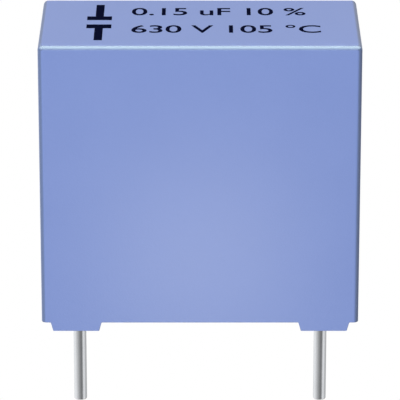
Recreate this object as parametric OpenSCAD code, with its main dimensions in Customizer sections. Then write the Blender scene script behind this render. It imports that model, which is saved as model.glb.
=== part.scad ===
// Boxed film capacitor with two round wire leads, for soldering into a circuit board.
// The board's face is z = 0, where the feet stand, and the leads point down.
// The origin lies midway between the leads. The row of leads runs along X.

/* [Case] */
// Distance from the middle of a lead to the nearer end face
end_margin = 2.15; // [1.7:0.05:4]
// Width of the case, front face to back face
case_width = 9.65; // [7:0.05:14]
// Height of the top face above the board
case_height = 18.2; // [15:0.1:26]
// Thickness of the four side walls
side_wall = 0.8; // [0.5:0.05:1]
// Thickness of the closed top
top_wall = 0.9; // [0.6:0.05:1.5]
// Radius of the rounded outer edges
edge_radius = 0.3; // [0.1:0.05:0.5]
// Radius of the upright corners inside the case
inner_radius = 0.3; // [0.1:0.05:0.8]

/* [Feet] */
// Height of the feet, which hold the rim off the board
foot_height = 0.55; // [0.3:0.05:1]
// Length of a foot where it leaves the rim
foot_length = 3.1; // [2:0.1:4]
// Straight rim left between a corner's rounding and its foot
foot_setback = 0.25; // [0:0.05:0.5]
// Distance that each flank of a foot slopes in on its way down
foot_slope = 0.15; // [0:0.05:0.4]

/* [Leads] */
// Spacing of the two leads, middle to middle
lead_pitch = 15; // [12.5:0.1:22.5]
// Diameter of the lead wire
lead_diameter = 0.8; // [0.6:0.05:1]
// Length of the leads below the board's face
lead_length = 6.5; // [3:0.05:20]
// Width of the bevel round the cut end of a lead
cut_bevel = 0.08; // [0.02:0.01:0.15]
// Length of lead that is welded to its end contact
weld_length = 7.5; // [3:0.1:9]
// Thickness of the lead inside the resin, where it is pressed flat for the weld
weld_thickness = 0.5; // [0.4:0.05:0.6]
// Length over which the round wire runs out into that flat
run_out = 0.6; // [0.3:0.1:1]

/* [Winding] */
// Thickness of the sprayed metal layer on each end of the winding
contact_thickness = 0.4; // [0.2:0.05:0.8]
// Distance that the metal layer stays in from the edge of the winding
contact_inset = 0.15; // [0.05:0.05:0.5]
// Resin between the winding and the walls and top of the case
winding_gap = 0.35; // [0.1:0.05:0.8]

/* [Resin] */
// Depth of resin that seals the case below the winding
seal_depth = 2.4; // [1:0.1:4]
// Radius of the hollow edge where the resin creeps along the walls and the leads
creep_radius = 0.3; // [0.1:0.05:0.5]
// Thickness of the resin where that edge ends
creep_lip = 0.05; // [0.02:0.01:0.1]
// Bare wall left between that edge and the rim
rim_margin = 0.05; // [0.05:0.05:0.6]

/* [Hidden] */
$fn = 48;

case_blue = [0.53, 0.6, 0.83];
resin_blue = [0.42, 0.47, 0.66];
film_grey = [0.78, 0.79, 0.8];
spray_grey = [0.6, 0.61, 0.63];
tin_grey = [0.8, 0.81, 0.82];

left = -1;
right = 1;
lead_radius = lead_diameter / 2;
case_length = lead_pitch + 2 * end_margin;

// The cavity of the case, from the rim up to the underside of its closed top
cavity_length = case_length - 2 * side_wall;
cavity_width = case_width - 2 * side_wall;
cavity_top = case_height - top_wall;

// The resin, and the winding that hangs in it
resin_edge = foot_height + rim_margin;
resin_face = resin_edge + creep_radius;
winding_bottom = resin_face + seal_depth;
winding_top = cavity_top - winding_gap;
winding_height = winding_top - winding_bottom;
winding_width = cavity_width - 2 * winding_gap;

// Each lead's flat lies against the outer face of its end contact.
// Pressing keeps the area of the wire's section, so the flat is wider than the wire.
contact_face = (lead_pitch - weld_thickness) / 2;
weld_width = PI * pow(lead_radius, 2) / weld_thickness;
winding_length = 2 * (contact_face - contact_thickness);
weld_bottom = winding_bottom + contact_inset;
lead_top = weld_bottom + weld_length;

// Rectangle with four round corners, about the origin
module rounded_rectangle(length, width, radius) {
  square([length - 2 * radius, width], center = true);
  square([length, width - 2 * radius], center = true);
  for (x = [-1, 1], y = [-1, 1])
    translate([x * (length / 2 - radius), y * (width / 2 - radius)])
      circle(radius);
}

// Upright shape with straight sides and half-round ends, about the origin
module flat_round(width, height) {
  straight = height - width;
  square([width, straight], center = true);
  for (end = [-1, 1])
    translate([0, end * straight / 2])
      circle(d = width);
}

// Block with round upright corners and round upper edges, which meet in a ball at each upper corner
module rounded_block(length, width, bottom, top, radius) {
  shoulder = top - radius;
  corner_x = length / 2 - radius;
  corner_y = width / 2 - radius;
  translate([0, 0, bottom])
    linear_extrude(shoulder - bottom)
      rounded_rectangle(length, width, radius);
  translate([-corner_x, -corner_y, shoulder])
    cube([2 * corner_x, 2 * corner_y, radius]);
  for (side = [-1, 1]) {
    translate([0, side * corner_y, shoulder])
      rotate([0, 90, 0])
        cylinder(h = 2 * corner_x, r = radius, center = true);
    translate([side * corner_x, 0, shoulder])
      rotate([90, 0, 0])
        cylinder(h = 2 * corner_y, r = radius, center = true);
    for (end = [-1, 1])
      translate([end * corner_x, side * corner_y, shoulder])
        sphere(radius);
  }
}

// Space inside the case walls, from a given height up to the closed top
module cavity(bottom) {
  translate([0, 0, bottom])
    linear_extrude(cavity_top - bottom)
      rounded_rectangle(cavity_length, cavity_width, inner_radius);
}

// The two feet at one end, in line with the long walls
module foot_pair(end) {
  outer = case_length / 2 - edge_radius - foot_setback;
  inner = outer - foot_length;
  for (side = [-1, 1])
    translate([0, side * (case_width - side_wall) / 2])
      rotate([90, 0, 0])
        linear_extrude(side_wall, center = true)
          polygon([
            [end * outer, foot_height],
            [end * inner, foot_height],
            [end * (inner + foot_slope), 0],
            [end * (outer - foot_slope), 0]
          ]);
}

// Stretch along X with the winding's section, drawn in all round by an inset
module winding_stretch(start, length, inset) {
  translate([start, 0, (winding_bottom + winding_top) / 2])
    rotate([90, 0, 90])
      linear_extrude(length)
        flat_round(winding_width - 2 * inset, winding_height - 2 * inset);
}

module winding_shape() {
  winding_stretch(-winding_length / 2, winding_length, 0);
}

module contact_shape(side) {
  start = side == left ? -contact_face : winding_length / 2;
  winding_stretch(start, contact_thickness, contact_inset);
}

// Round wire with a bevelled cut end, which runs out into a flat blade inside the resin
module lead_shape(side) {
  translate([side * lead_pitch / 2, 0, 0]) {
    translate([0, 0, -lead_length])
      cylinder(h = cut_bevel, r1 = lead_radius - cut_bevel, r2 = lead_radius);
    translate([0, 0, cut_bevel - lead_length])
      cylinder(h = lead_length - cut_bevel + resin_edge, r = lead_radius);
    translate([0, 0, resin_edge])
      cylinder(h = run_out, r1 = lead_radius, r2 = weld_thickness / 2);
    translate([0, 0, (resin_edge + lead_top) / 2])
      rotate([90, 0, 90])
        linear_extrude(weld_thickness, center = true)
          flat_round(weld_width, lead_top - resin_edge);
  }
}

// Resin poured round the winding, with a hollow edge where its face meets the walls
module resin_fill() {
  tray_length = cavity_length - 2 * creep_lip;
  tray_width = cavity_width - 2 * creep_lip;
  difference() {
    cavity(resin_edge);
    rounded_block(tray_length, tray_width, foot_height, resin_face, creep_radius);
  }
}

// Collar of resin along a lead, with the same hollow edge
module resin_collar(side) {
  collar_radius = lead_radius + creep_lip + creep_radius;
  translate([side * lead_pitch / 2, 0, resin_edge])
    rotate_extrude()
      difference() {
        square([collar_radius, creep_radius]);
        translate([collar_radius, 0])
          circle(creep_radius);
      }
}

module case() {
  color(case_blue) {
    difference() {
      rounded_block(case_length, case_width, foot_height, case_height, edge_radius);
      cavity(foot_height);
    }
    foot_pair(left);
    foot_pair(right);
  }
}

module sealing_resin() {
  color(resin_blue)
    difference() {
      union() {
        resin_fill();
        resin_collar(left);
        resin_collar(right);
      }
      winding_shape();
      for (side = [left, right]) {
        contact_shape(side);
        lead_shape(side);
      }
    }
}

module film_winding() {
  color(film_grey)
    winding_shape();
}

module end_contact_left() {
  color(spray_grey)
    contact_shape(left);
}

module end_contact_right() {
  color(spray_grey)
    contact_shape(right);
}

module lead_left() {
  color(tin_grey)
    lead_shape(left);
}

module lead_right() {
  color(tin_grey)
    lead_shape(right);
}

case();
sealing_resin();
film_winding();
end_contact_left();
end_contact_right();
lead_left();
lead_right();
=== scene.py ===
"""Looks of a boxed film capacitor: a moulded case, two tinned leads, and print on its top.

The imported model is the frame. Everything is in metres, with +X along the row of leads,
+Y to the back, +Z up, and z = 0 where the feet stand.
"""

from math import cos, pi, radians, sin

import bmesh
import bpy
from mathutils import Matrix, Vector


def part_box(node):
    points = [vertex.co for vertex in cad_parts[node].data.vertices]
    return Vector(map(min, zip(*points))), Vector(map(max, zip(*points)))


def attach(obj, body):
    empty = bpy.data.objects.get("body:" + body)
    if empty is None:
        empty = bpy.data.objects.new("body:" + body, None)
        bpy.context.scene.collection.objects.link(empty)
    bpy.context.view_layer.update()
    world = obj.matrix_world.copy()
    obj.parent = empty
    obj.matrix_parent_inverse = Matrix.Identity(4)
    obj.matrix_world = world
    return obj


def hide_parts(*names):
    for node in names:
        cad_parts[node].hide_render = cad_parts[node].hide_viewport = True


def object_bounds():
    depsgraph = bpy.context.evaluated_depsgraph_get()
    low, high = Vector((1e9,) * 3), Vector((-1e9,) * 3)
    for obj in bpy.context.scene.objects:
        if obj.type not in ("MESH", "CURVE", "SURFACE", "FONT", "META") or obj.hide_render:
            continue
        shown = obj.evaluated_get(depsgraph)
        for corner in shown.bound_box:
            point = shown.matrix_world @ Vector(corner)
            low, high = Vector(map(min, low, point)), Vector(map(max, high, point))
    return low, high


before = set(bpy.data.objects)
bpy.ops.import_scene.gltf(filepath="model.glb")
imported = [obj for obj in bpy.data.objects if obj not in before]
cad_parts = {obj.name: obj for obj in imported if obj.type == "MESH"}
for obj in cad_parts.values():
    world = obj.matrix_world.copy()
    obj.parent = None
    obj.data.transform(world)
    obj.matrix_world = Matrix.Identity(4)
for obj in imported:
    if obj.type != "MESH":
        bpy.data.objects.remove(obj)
cad_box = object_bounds()

MM = 0.001
TINY = 0.001 * MM
MERGE = TINY / 10
SHARP_ANGLE = radians(35)
FLAT_ANGLE = radians(1)
# A face looks along an axis when this much of its normal does
FACING = 0.9

# The case: its box comes from the frame
case_low, case_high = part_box("case")
SIDE_WALL = 0.8 * MM
TOP_WALL = 0.9 * MM
EDGE_RADIUS = 0.3 * MM
EDGE_STEPS = 8
INNER_RADIUS = 0.3 * MM
INNER_STEPS = 4
SOFT_EDGE = 0.04 * MM
SOFT_STEPS = 2

# The four feet on the rim of the case
FOOT_HEIGHT = 0.55 * MM
FOOT_LENGTH = 3.1 * MM
FOOT_SETBACK = 0.25 * MM
FOOT_SLOPE = 0.15 * MM
foot_outer = case_high.x - EDGE_RADIUS - FOOT_SETBACK
foot_inner = foot_outer - FOOT_LENGTH
foot_middle = (foot_outer + foot_inner) / 2
rim = case_low.z + FOOT_HEIGHT
inner_face = case_high.y - SIDE_WALL

# The leads: their ends come from the frame
lead_low, lead_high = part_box("lead_left")
LEAD_PITCH = 15 * MM
LEAD_RADIUS = 0.4 * MM
LEAD_SIDES = 64
CUT_BEVEL = 0.08 * MM
CUT_STEPS = 4
COPPER_HEIGHT = 0.05 * MM
RUN_OUT = 0.6 * MM
# Just under half the blade's thickness, so that no two faces coincide
RUN_OUT_RADIUS = 0.245 * MM
BLADE_THICKNESS = 0.5 * MM
# Not a multiple of 4, so that no corner lies at the disc's middle height
BLADE_SIDES = 66
blade_radius = pi * LEAD_RADIUS ** 2 / (2 * BLADE_THICKNESS)
resin_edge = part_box("sealing_resin")[0].z

# The print on the top: plain rating figures and the sign for a capacitor
INK_DEPTH = 0.012 * MM
LETTER_SIZE = 2.1 * MM
LETTER_WEIGHT = 0.02 * MM
LETTER_STEPS = 6
LINE_START = -4.2 * MM
# Each line's words, its base and its length
RATING_LINES = (
    ("0.15 uF 10 %", 1.5 * MM, 10.6 * MM),
    ("630 V 105 °C", -2.06 * MM, 11.4 * MM),
)
SIGN_X = -6.1 * MM
SIGN_Y = 0.02 * MM
PLATE_WIDTH = 1.5 * MM
PLATE_DEPTH = 0.75 * MM
PLATE_GAP = 0.9 * MM
STUB_LENGTH = 2.4 * MM
STUB_WIDTH = 0.5 * MM

# The camera, as in the photograph, with its height in degrees
CAMERA_LENS = 320.8
CAMERA_SENSOR = 36
CAMERA_DISTANCE = 219.7 * MM
CAMERA_HEIGHT = 20.07
CAMERA_AIM = Vector((0, 0, 6.755 * MM))
CAMERA_NEAREST, CAMERA_FARTHEST = 10 * MM, 10

# The studio as the object sees it, with angles in degrees: 0 turn faces the camera, 90 is to the right.
# A soft screen stands in front, above the camera, and a weaker one low behind. Neither shows in gloss.
# The dim room itself has two bright screens at the back and light from below.
FLOOR_SIZE = 4
SCREEN_DISTANCE = 800 * MM
SCREEN_SIZE = 600 * MM
SCREEN_TURN, SCREEN_HEIGHT = -24, 30.5
SCREEN_POWER = 8.05
SCREEN_COLOUR = (1, 0.988, 0.984)
FILL_TURN, FILL_HEIGHT = 180, -20
FILL_POWER = 1.9
FILL_COLOUR = (1, 1, 1)
BACK_HEIGHT, BACK_FOCUS = 25, 5
# Each back screen's turn and level
BACK_SCREENS = ((-130, 1.46), (130, 1.78))
ROOM_LEVEL = 0.09
UNDER_LEVEL = 0.75
UNDER_FULL, UNDER_END = -0.8, -0.65

# A ring of cards below the horizon shows only in what is glossy, and gives the leads their lines.
CARD_DISTANCE = 300 * MM
CARD_TOP, CARD_BOTTOM = -12 * MM, -400 * MM
CARD_SIDES = 96
# Each card's turn and level
CARDS = (
    (-180, 0.70), (-140, 0.98), (-118, 1.0), (-90, 0.98), (-68, 0.79), (-48, 0.62),
    (-30, 0.48), (-13, 0.36), (5, 0.25), (22, 0.19), (38, 0.24), (57, 0.95),
    (76, 0.92), (104, 0.58), (140, 0.5), (180, 0.70),
)

# A strip close over the front edge of the top makes the bright line there.
STRIP_HEIGHT, STRIP_FACING = 43, 103
STRIP_DISTANCE = 2 * MM
STRIP_WIDTH = 23 * MM
STRIP_DEPTH = 4 * MM
STRIP_SPREAD = 150
STRIP_POWER = 0.00122
STRIP_COLOUR = (0.85, 1, 0.84)

# A low light makes the soft sheen on the front face.
SHEEN_HEIGHT = 4.8 * MM
SHEEN_DISTANCE = 26 * MM
SHEEN_SIZE = 12 * MM
SHEEN_POWER = 0.00155
SHEEN_COLOUR = (1, 0.93, 0.66)


# Modelling

def near(a, b):
    return abs(a - b) < TINY


def begin(primitive, **settings):
    """A new primitive, alone selected, with its place and size in its mesh and open for editing."""
    bpy.ops.object.select_all(action="DESELECT")
    primitive(**settings)
    bpy.ops.object.transform_apply(location=True, rotation=True, scale=True)
    bpy.ops.object.mode_set(mode="EDIT")
    return bpy.context.object


def pick(kind, test):
    """Selects just the vertices, edges or faces of the open piece that pass a test."""
    bpy.ops.mesh.select_mode(type=kind)
    bpy.ops.mesh.select_all(action="DESELECT")
    mesh = bmesh.from_edit_mesh(bpy.context.object.data)
    for part in {"VERT": mesh.verts, "EDGE": mesh.edges, "FACE": mesh.faces}[kind]:
        if test(part):
            part.select_set(True)
    bmesh.update_edit_mesh(bpy.context.object.data)


def middle(edge):
    return (edge.verts[0].co + edge.verts[1].co) / 2


def push(x=0, y=0, z=0):
    """Extrudes what is selected along a vector."""
    bpy.ops.mesh.extrude_region_move(TRANSFORM_OT_translate={"value": (x, y, z)})


def finish_mesh(piece):
    """Merges doubles, turns the faces outwards and ends the editing of the piece."""
    bpy.ops.mesh.select_all(action="SELECT")
    bpy.ops.mesh.remove_doubles(threshold=MERGE)
    bpy.ops.mesh.dissolve_degenerate(threshold=MERGE)
    bpy.ops.mesh.normals_make_consistent(inside=False)
    bpy.ops.object.mode_set(mode="OBJECT")
    return piece


def apply_modifier(piece, kind, **settings):
    modifier = piece.modifiers.new(kind.lower(), kind)
    for name, value in settings.items():
        setattr(modifier, name, value)
    bpy.ops.object.modifier_apply(modifier=modifier.name)


def soften(piece):
    """Rounds the sharp edges that are left, and shades flats as flat."""
    apply_modifier(
        piece, "BEVEL", width=SOFT_EDGE, segments=SOFT_STEPS, limit_method="ANGLE",
        angle_limit=SHARP_ANGLE, use_clamp_overlap=False, miter_outer="MITER_ARC",
    )
    bpy.ops.object.shade_smooth()
    apply_modifier(piece, "WEIGHTED_NORMAL", weight=100, keep_sharp=False)


def place(piece, name, material, node=None):
    """Names a finished piece, gives it its finish and hangs it on the frame."""
    piece.name = name
    piece.data.name = name
    piece.data.materials.clear()
    piece.data.materials.append(material)
    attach(piece, "root")
    if node:
        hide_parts(node)


# The case

def is_rim(face):
    return face.normal.z < -FACING and near(face.calc_center_median().z, rim)


def is_foot(face):
    spot = face.calc_center_median()
    return is_rim(face) and foot_inner < abs(spot.x) < foot_outer and abs(spot.y) > inner_face


def is_outer_edge(edge):
    spot = middle(edge)
    at_end = near(abs(spot.x), case_high.x)
    at_side = near(abs(spot.y), case_high.y)
    return at_end and at_side or near(spot.z, case_high.z) and (at_end or at_side)


def is_inner_upright(edge):
    spot = middle(edge)
    return near(abs(spot.x), case_high.x - SIDE_WALL) and near(abs(spot.y), inner_face)


def make_case():
    """A cup, closed at the top: a block hollowed from below, with feet drawn out of its rim."""
    size = Vector((case_high.x - case_low.x, case_high.y - case_low.y, case_high.z - rim))
    centre = (0, 0, (case_high.z + rim) / 2)
    piece = begin(bpy.ops.mesh.primitive_cube_add, size=1, location=centre, scale=size)
    pick("FACE", lambda face: face.normal.z < -FACING)
    bpy.ops.mesh.inset(thickness=SIDE_WALL)
    push(z=size.z - TOP_WALL)

    cuts = [((side * x, 0, 0), (1, 0, 0)) for x in (foot_outer, foot_inner) for side in (-1, 1)]
    cuts += [((0, side * inner_face, 0), (0, 1, 0)) for side in (-1, 1)]
    for point, normal in cuts:
        pick("FACE", is_rim)
        bpy.ops.mesh.bisect(plane_co=point, plane_no=normal)
    pick("FACE", is_foot)
    push(z=-FOOT_HEIGHT)
    narrowing = 1 - 2 * FOOT_SLOPE / FOOT_LENGTH
    for end in (-1, 1):
        pick("VERT", lambda vert: near(vert.co.z, case_low.z) and vert.co.x * end > 0)
        bpy.ops.transform.resize(value=(narrowing, 1, 1), center_override=(end * foot_middle, 0, 0))
    bpy.ops.mesh.select_all(action="SELECT")
    bpy.ops.mesh.dissolve_limited(angle_limit=FLAT_ANGLE)

    pick("EDGE", is_outer_edge)
    bpy.ops.mesh.bevel(offset=EDGE_RADIUS, segments=EDGE_STEPS, affect="EDGES")
    pick("EDGE", is_inner_upright)
    bpy.ops.mesh.bevel(offset=INNER_RADIUS, segments=INNER_STEPS, affect="EDGES")
    finish_mesh(piece)
    soften(piece)
    return piece


# The leads

def make_wire(axis):
    """Round wire with a worn cut end, which runs out to a thinner round above the edge of the resin."""
    wire = begin(
        bpy.ops.mesh.primitive_cylinder_add, vertices=LEAD_SIDES, radius=LEAD_RADIUS,
        depth=resin_edge - lead_low.z, location=(axis, 0, (resin_edge + lead_low.z) / 2),
    )
    pick("FACE", lambda face: face.normal.z > FACING)
    push(z=RUN_OUT)
    narrowing = RUN_OUT_RADIUS / LEAD_RADIUS
    bpy.ops.transform.resize(value=(narrowing, narrowing, 1), center_override=(axis, 0, 0))
    pick("EDGE", lambda edge: all(near(vert.co.z, lead_low.z) for vert in edge.verts))
    bpy.ops.mesh.bevel(offset=CUT_BEVEL, segments=CUT_STEPS, affect="EDGES")
    return finish_mesh(wire)


def make_blade(axis):
    """Flat with half-round ends, drawn out of a disc that stands on the edge of the resin."""
    centre = resin_edge + blade_radius
    blade = begin(
        bpy.ops.mesh.primitive_cylinder_add, vertices=BLADE_SIDES, radius=blade_radius,
        depth=BLADE_THICKNESS, location=(axis, 0, centre), rotation=(pi / 2, 0, pi / 2),
    )
    pick("VERT", lambda vert: vert.co.z > centre)
    bpy.ops.transform.translate(value=(0, 0, lead_high.z - resin_edge - 2 * blade_radius))
    return finish_mesh(blade)


def make_leads():
    """One wire joined with the blade that is welded inside, and its copy."""
    axis = -LEAD_PITCH / 2
    blade = make_blade(axis)
    left = make_wire(axis)
    apply_modifier(left, "BOOLEAN", object=blade, operation="UNION", solver="EXACT")
    bpy.data.objects.remove(blade)
    bpy.ops.object.shade_smooth_by_angle(angle=SHARP_ANGLE)
    bpy.ops.object.duplicate()
    right = bpy.context.object
    bpy.ops.transform.translate(value=(LEAD_PITCH, 0, 0))
    bpy.ops.object.transform_apply(location=True, rotation=True, scale=True)
    return left, right


# The print on the top

def make_line(words, base, length):
    """One line of plain figures, as a thin layer of ink on the top face."""
    bpy.ops.object.select_all(action="DESELECT")
    bpy.ops.object.text_add()
    line = bpy.context.object
    line.data.body = words
    line.data.size = LETTER_SIZE
    line.data.offset = LETTER_WEIGHT
    line.data.extrude = INK_DEPTH / 2
    line.data.resolution_u = LETTER_STEPS
    bpy.ops.object.convert(target="MESH")
    line.location = (LINE_START, base, case_high.z)
    line.scale.x = length / line.dimensions.x
    bpy.ops.object.transform_apply(location=True, rotation=True, scale=True)
    bpy.ops.object.mode_set(mode="EDIT")
    return finish_mesh(line)


def make_sign():
    """The sign for a capacitor: two plates a gap apart, each with its stub."""
    plate_y = SIGN_Y - PLATE_GAP / 2 - PLATE_DEPTH / 2
    sign = begin(
        bpy.ops.mesh.primitive_cube_add, size=1, location=(SIGN_X, plate_y, case_high.z),
        scale=(PLATE_WIDTH, PLATE_DEPTH, INK_DEPTH),
    )
    for side in (-1, 1):
        bpy.ops.mesh.select_all(action="SELECT")
        edge = (SIGN_X + side * STUB_WIDTH / 2, 0, 0)
        bpy.ops.mesh.bisect(plane_co=edge, plane_no=(1, 0, 0))
    pick("FACE", lambda face: face.normal.y < -FACING and near(face.calc_center_median().x, SIGN_X))
    push(y=-STUB_LENGTH)
    bpy.ops.mesh.select_all(action="SELECT")
    bpy.ops.mesh.duplicate()
    bpy.ops.transform.rotate(value=pi, orient_axis="Z", center_override=(SIGN_X, SIGN_Y, 0))
    return finish_mesh(sign)


# Finishes

class Value:
    """What a node gives out. Arithmetic on it adds Math nodes."""

    def __init__(self, finish, socket):
        self.finish = finish
        self.socket = socket

    def maths(self, operation, *values):
        return self.finish.add("ShaderNodeMath", {"operation": operation}, dict(enumerate(values)))

    def __add__(self, other):
        return self.maths("ADD", self, other)

    def __radd__(self, other):
        return self.maths("ADD", other, self)

    def __sub__(self, other):
        return self.maths("SUBTRACT", self, other)

    def __rsub__(self, other):
        return self.maths("SUBTRACT", other, self)

    def __mul__(self, other):
        return self.maths("MULTIPLY", self, other)

    def __rmul__(self, other):
        return self.maths("MULTIPLY", other, self)

    def __truediv__(self, other):
        return self.maths("DIVIDE", self, other)

    def __neg__(self):
        return self.maths("MULTIPLY", self, -1)

    def __abs__(self):
        return self.maths("ABSOLUTE", self)

    def __pow__(self, power):
        return self.maths("POWER", self, power)

    def at_least(self, level):
        return self.maths("MAXIMUM", self, level)

    def rise(self, start, end):
        """From 0 at one value to 1 at another, with soft ends."""
        settings = {"interpolation_type": "SMOOTHSTEP"}
        return self.finish.add("ShaderNodeMapRange", settings, {0: self, 1: start, 2: end})


class Finish:
    """The nodes of a material or of the world."""

    def __init__(self, owner):
        owner.use_nodes = True
        self.tree = owner.node_tree
        self.tree.nodes.clear()

    def add(self, kind, settings=None, sockets=None, output=0):
        """Adds any node: its settings first, then the values or links of its sockets."""
        node = self.tree.nodes.new(kind)
        for name, value in (settings or {}).items():
            if name == "stops":
                while len(node.color_ramp.elements) < len(value):
                    node.color_ramp.elements.new(0.5)
                for stop, (place_on_ramp, colour) in zip(node.color_ramp.elements, value):
                    stop.position = place_on_ramp
                    stop.color = colour
            else:
                setattr(node, name, value)
        for key, value in (sockets or {}).items():
            if isinstance(value, Value):
                self.tree.links.new(value.socket, node.inputs[key])
            else:
                node.inputs[key].default_value = value
        return Value(self, node.outputs[output]) if node.outputs else node

    def millimetres(self, stretch=(1, 1, 1)):
        """Object coordinates in millimetres, stretched along the axes."""
        place_on_piece = self.add("ShaderNodeTexCoord", output="Object")
        scale = [share / MM for share in stretch]
        return self.add("ShaderNodeMapping", None, {"Vector": place_on_piece, "Scale": scale})

    def axes(self, vector):
        return [self.add("ShaderNodeSeparateXYZ", None, {0: vector}, axis) for axis in range(3)]

    def noise(self, vector, size, detail=2, roughness=0.5):
        """Soft noise from 0 to 1, with blotches of about that size."""
        sockets = {"Vector": vector, "Scale": 1 / size, "Detail": detail, "Roughness": roughness}
        return self.add("ShaderNodeTexNoise", None, sockets)

    def mix(self, share, first, second):
        return self.add("ShaderNodeMix", {"data_type": "RGBA"}, {0: share, 6: first, 7: second}, 2)

    def bump(self, height, depth):
        """A normal raised by a height from 0 to 1, of a depth in metres."""
        return self.add("ShaderNodeBump", None, {"Strength": 1, "Distance": depth, "Height": height})

    def surface(self, **sockets):
        """The shader of a solid, with its sockets by name."""
        named = {name.replace("_", " "): value for name, value in sockets.items()}
        shader = self.add("ShaderNodeBsdfPrincipled", None, named)
        self.add("ShaderNodeOutputMaterial", None, {"Surface": shader})


def new_finish(name):
    material = bpy.data.materials.new(name)
    return material, Finish(material)


def tint(red, green, blue):
    return (red, green, blue, 1)


def grey(level):
    return tint(level, level, level)


def moulded_plastic():
    """Satin blue plastic with fine mould grain and faint clouding. Its rounded edges are rubbed smooth and
    painted darker as shade, and the long upper ones are polished."""
    material, finish = new_finish("moulded plastic")
    spot = finish.millimetres()
    clouding = finish.noise(spot, size=4, detail=3)
    grain = finish.noise(spot, size=0.09, detail=3, roughness=0.6)
    x, y, z = finish.axes(spot)
    faces = (case_high.x / MM - abs(x), case_high.y / MM - abs(y), case_high.z / MM - z)
    nearness = [1 - distance * (MM / EDGE_RADIUS) for distance in faces]
    near_end, near_side, near_top = [reach.at_least(0) for reach in nearness]
    # 1 on a flat face, 1.41 in the middle of a rounded edge
    bend = near_end + near_side + near_top
    rubbed = bend.rise(1, 1.25)
    polished = (near_side + near_top).rise(1, 1.25)
    body = finish.mix(clouding * 0.5 + grain * 0.5, tint(0.196, 0.278, 0.604), tint(0.226, 0.312, 0.652))
    # Painted shade: the rounded edges are mixed towards a dark blue-grey, standing in for the light
    # falling off there
    colour = finish.mix(bend.rise(1.08, 1.41) * 0.55, body, tint(0.05, 0.075, 0.085))
    finish.surface(
        Base_Color=colour,
        Roughness=0.29 + 0.06 * clouding + 0.06 * grain,
        Coat_Weight=polished,
        Coat_Roughness=0.42,
        Coat_IOR=1.7,
        Normal=finish.bump(grain * (1 - rubbed), depth=0.007 * MM),
    )
    return material


def cast_resin():
    """Dull blue resin that set smooth, with clouds of filler and a few pinholes."""
    material, finish = new_finish("cast resin")
    spot = finish.millimetres()
    clouds = finish.noise(spot, size=2.5, detail=4)
    specks = finish.noise(spot, size=0.12, detail=2)
    pinholes = finish.add("ShaderNodeTexVoronoi", None, {"Vector": spot, "Scale": 1.1})
    hollow = 1 - pinholes.rise(0.03, 0.1)
    base = finish.mix(clouds, tint(0.10, 0.135, 0.27), tint(0.145, 0.185, 0.34))
    colour = finish.mix(specks.rise(0.6, 0.75) * 0.3, base, tint(0.3, 0.35, 0.5))
    finish.surface(
        Base_Color=colour,
        Roughness=0.28 + 0.14 * clouds + 0.2 * hollow,
        Normal=finish.bump(clouds * 0.4 + specks * 0.05 - hollow * 0.3, depth=0.05 * MM),
    )
    return material


def wound_film():
    """Silvery film, with the fine lines of its turns."""
    material, finish = new_finish("wound film")
    spot = finish.millimetres()
    turns = finish.noise(finish.millimetres(stretch=(0.02, 6, 6)), size=1, detail=2)
    haze = finish.noise(spot, size=3)
    finish.surface(
        Base_Color=finish.mix(turns, tint(0.5, 0.51, 0.53), tint(0.68, 0.69, 0.7)),
        Roughness=0.25 + 0.2 * haze,
        Metallic=0.55 + 0.3 * haze,
        Normal=finish.bump(turns, depth=0.004 * MM),
    )
    return material


def sprayed_metal():
    """Grey metal sprayed on in droplets."""
    material, finish = new_finish("sprayed metal")
    spot = finish.millimetres()
    droplets = finish.add("ShaderNodeTexVoronoi", None, {"Vector": spot, "Scale": 9})
    tone = finish.noise(spot, size=0.6, detail=3)
    finish.surface(
        Base_Color=finish.mix(tone, tint(0.3, 0.31, 0.32), tint(0.44, 0.45, 0.47)),
        Roughness=0.55 + 0.25 * tone,
        Metallic=0.8 - 0.2 * droplets,
        Normal=finish.bump(1 - droplets, depth=0.05 * MM),
    )
    return material


def tinned_wire():
    """Bright tin on drawn wire: fine lines along it, soft blotches, copper at the cut end."""
    material, finish = new_finish("tinned wire")
    spot = finish.millimetres()
    lines = finish.noise(finish.millimetres(stretch=(1, 1, 0.02)), size=0.05, detail=2)
    blotches = finish.noise(finish.millimetres(stretch=(1, 1, 0.5)), size=0.5, detail=3)
    height = finish.axes(spot)[2]
    copper = 1 - height.rise(lead_low.z / MM, (lead_low.z + COPPER_HEIGHT) / MM)
    tin = finish.mix(blotches, tint(0.69, 0.708, 0.735), tint(0.81, 0.828, 0.855))
    finish.surface(
        Base_Color=finish.mix(copper * 0.7, tin, tint(0.72, 0.42, 0.29)),
        Metallic=1.0,
        Roughness=0.16 + 0.1 * blotches + 0.05 * lines,
        Normal=finish.bump(lines * 0.7 + blotches * 0.3, depth=0.002 * MM),
    )
    return material


def print_ink():
    """Dark ink, laid on a little unevenly."""
    material, finish = new_finish("print ink")
    spot = finish.millimetres()
    cover = finish.noise(spot, size=0.15, detail=3)
    finish.surface(
        Base_Color=finish.mix(cover, tint(0.0006, 0.0014, 0.013), tint(0.0018, 0.0034, 0.023)),
        Specular_IOR_Level=0.003,
        Roughness=0.5 + 0.2 * cover,
        Normal=finish.bump(cover, depth=0.001 * MM),
    )
    return material


# Pieces on the frame

plastic = moulded_plastic()
tin = tinned_wire()
ink = print_ink()
spray = sprayed_metal()

case = make_case()
place(case, "moulded_case", plastic, "case")
lead_left, lead_right = make_leads()
place(lead_left, "tinned_lead_left", tin, "lead_left")
place(lead_right, "tinned_lead_right", tin, "lead_right")
for number, (words, base, length) in enumerate(RATING_LINES, 1):
    place(make_line(words, base, length), f"rating_line_{number}", ink)
place(make_sign(), "capacitor_sign", ink)

kept_nodes = {
    "sealing_resin": cast_resin(),
    "film_winding": wound_film(),
    "end_contact_left": spray,
    "end_contact_right": spray,
}
for name, material in kept_nodes.items():
    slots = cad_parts[name].data.materials
    slots.clear()
    slots.append(material)


# Floor, light and camera

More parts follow.
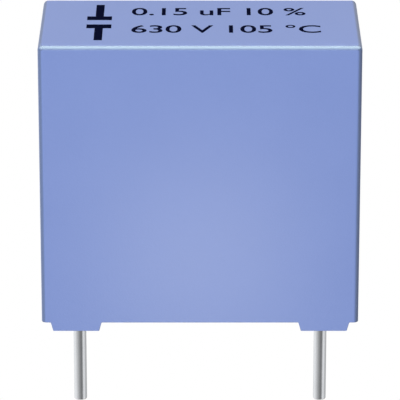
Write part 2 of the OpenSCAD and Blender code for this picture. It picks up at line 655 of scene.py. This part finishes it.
def make_floor():
    """A plain white floor, which is clear from below and takes no shadow."""
    bpy.ops.object.select_all(action="DESELECT")
    bpy.ops.mesh.primitive_plane_add(size=FLOOR_SIZE, location=(0, 0, cad_box[0].z))
    floor = bpy.context.object
    floor.name = "floor"
    material, finish = new_finish("studio floor")
    glow = finish.add("ShaderNodeEmission", None, {"Color": grey(1), "Strength": 1.0})
    clear = finish.add("ShaderNodeBsdfTransparent")
    under = finish.add("ShaderNodeNewGeometry", output="Backfacing")
    shader = finish.add("ShaderNodeMixShader", None, {0: under, 1: glow, 2: clear})
    finish.add("ShaderNodeOutputMaterial", None, {"Surface": shader})
    floor.data.materials.append(material)
    floor.visible_diffuse = False
    floor.visible_glossy = False
    floor.visible_shadow = False


def direction(turn, height):
    """The way from the object to a place in the studio."""
    turn, height = radians(turn), radians(height)
    return Vector((sin(turn) * cos(height), -cos(turn) * cos(height), sin(height)))


def make_world():
    """The dim room, with its two back screens and the light from below."""
    world = bpy.data.worlds.new("studio")
    bpy.context.scene.world = world
    finish = Finish(world)
    outward = finish.add("ShaderNodeTexCoord", output="Generated")
    z = finish.axes(outward)[2]

    def back_screen(turn, level):
        towards = {0: outward, 1: direction(turn, BACK_HEIGHT)}
        facing = finish.add("ShaderNodeVectorMath", {"operation": "DOT_PRODUCT"}, towards, "Value")
        return level * facing.at_least(0) ** BACK_FOCUS

    back = sum(back_screen(turn, level) for turn, level in BACK_SCREENS)
    under = UNDER_LEVEL * (1 - z.rise(UNDER_FULL, UNDER_END))
    room = ROOM_LEVEL + back + under
    # Seen straight, the room is as white as the floor
    seen = finish.add("ShaderNodeLightPath", output="Is Camera Ray")
    strength = room + seen * (1 - room)
    light = finish.add("ShaderNodeBackground", None, {"Color": grey(1), "Strength": strength})
    finish.add("ShaderNodeOutputWorld", None, {"Surface": light})


def make_cards():
    """The ring of cards, whose grey changes smoothly from one to the next."""
    bpy.ops.object.select_all(action="DESELECT")
    bpy.ops.mesh.primitive_cylinder_add(
        vertices=CARD_SIDES, radius=CARD_DISTANCE, depth=CARD_TOP - CARD_BOTTOM,
        end_fill_type="NOTHING", location=(0, 0, (CARD_TOP + CARD_BOTTOM) / 2),
    )
    ring = bpy.context.object
    ring.name = "ring of cards"
    material, finish = new_finish("grey cards")
    x, y = finish.axes(finish.add("ShaderNodeTexCoord", output="Object"))[:2]
    turn = x.maths("ARCTAN2", x, -y) / (2 * pi) + 0.5
    stops = [(angle / 360 + 0.5, grey(level)) for angle, level in CARDS]
    level = finish.add("ShaderNodeValToRGB", {"stops": stops}, {0: turn})
    glow = finish.add("ShaderNodeEmission", None, {"Color": level, "Strength": 1.0})
    finish.add("ShaderNodeOutputMaterial", None, {"Surface": glow})
    ring.data.materials.append(material)
    ring.visible_camera = False
    ring.visible_diffuse = False
    ring.visible_shadow = False


def add_light(name, spot, towards, width, depth, power, colour):
    """A soft light at a spot, which faces along a direction. Its width runs along X."""
    data = bpy.data.lights.new(name, "AREA")
    data.shape = "RECTANGLE"
    data.size = width
    data.size_y = depth
    data.energy = power
    data.color = colour
    lamp = bpy.data.objects.new(name, data)
    lamp.location = spot
    lamp.rotation_euler = (-towards).to_track_quat("Z", "Y").to_euler()
    lamp.visible_camera = False
    bpy.context.scene.collection.objects.link(lamp)
    return lamp


def make_lights():
    """The front screen, the fill behind, and two lights that show only in the case's gloss: the strip
    and the low sheen."""
    ahead = direction(SCREEN_TURN, SCREEN_HEIGHT)
    screen = add_light(
        "front screen", ahead * SCREEN_DISTANCE, -ahead,
        SCREEN_SIZE, SCREEN_SIZE, SCREEN_POWER, SCREEN_COLOUR,
    )
    behind = direction(FILL_TURN, FILL_HEIGHT)
    fill = add_light(
        "back fill", behind * SCREEN_DISTANCE, -behind,
        SCREEN_SIZE, SCREEN_SIZE, FILL_POWER, FILL_COLOUR,
    )
    for lamp in (screen, fill):
        lamp.visible_glossy = False

    over_edge = Vector((0, case_low.y, case_high.z)) + direction(0, STRIP_HEIGHT) * STRIP_DISTANCE
    strip = add_light(
        "edge strip", over_edge, -direction(0, STRIP_FACING),
        STRIP_WIDTH, STRIP_DEPTH, STRIP_POWER, STRIP_COLOUR,
    )
    strip.data.spread = radians(STRIP_SPREAD)

    below = direction(0, -CAMERA_HEIGHT)
    low_in_front = Vector((0, case_low.y, SHEEN_HEIGHT)) + below * SHEEN_DISTANCE
    sheen = add_light(
        "low sheen", low_in_front, -below,
        SHEEN_SIZE, SHEEN_SIZE, SHEEN_POWER, SHEEN_COLOUR,
    )

    lit = bpy.data.collections.new("lit by strip and sheen")
    lit.objects.link(case)
    for lamp in (strip, sheen):
        lamp.visible_diffuse = False
        lamp.light_linking.receiver_collection = lit


def make_camera():
    """The camera at the photograph's angle, with no shift and no depth of field."""
    data = bpy.data.cameras.new("camera")
    data.lens = CAMERA_LENS
    data.sensor_width = CAMERA_SENSOR
    data.clip_start = CAMERA_NEAREST
    data.clip_end = CAMERA_FARTHEST
    camera = bpy.data.objects.new("camera", data)
    away = direction(0, CAMERA_HEIGHT)
    camera.location = CAMERA_AIM + away * CAMERA_DISTANCE
    camera.rotation_euler = away.to_track_quat("Z", "Y").to_euler()
    bpy.context.scene.collection.objects.link(camera)
    bpy.context.scene.camera = camera


make_floor()
make_world()
make_cards()
make_lights()
make_camera()
bpy.context.scene.view_settings.view_transform = "Standard"
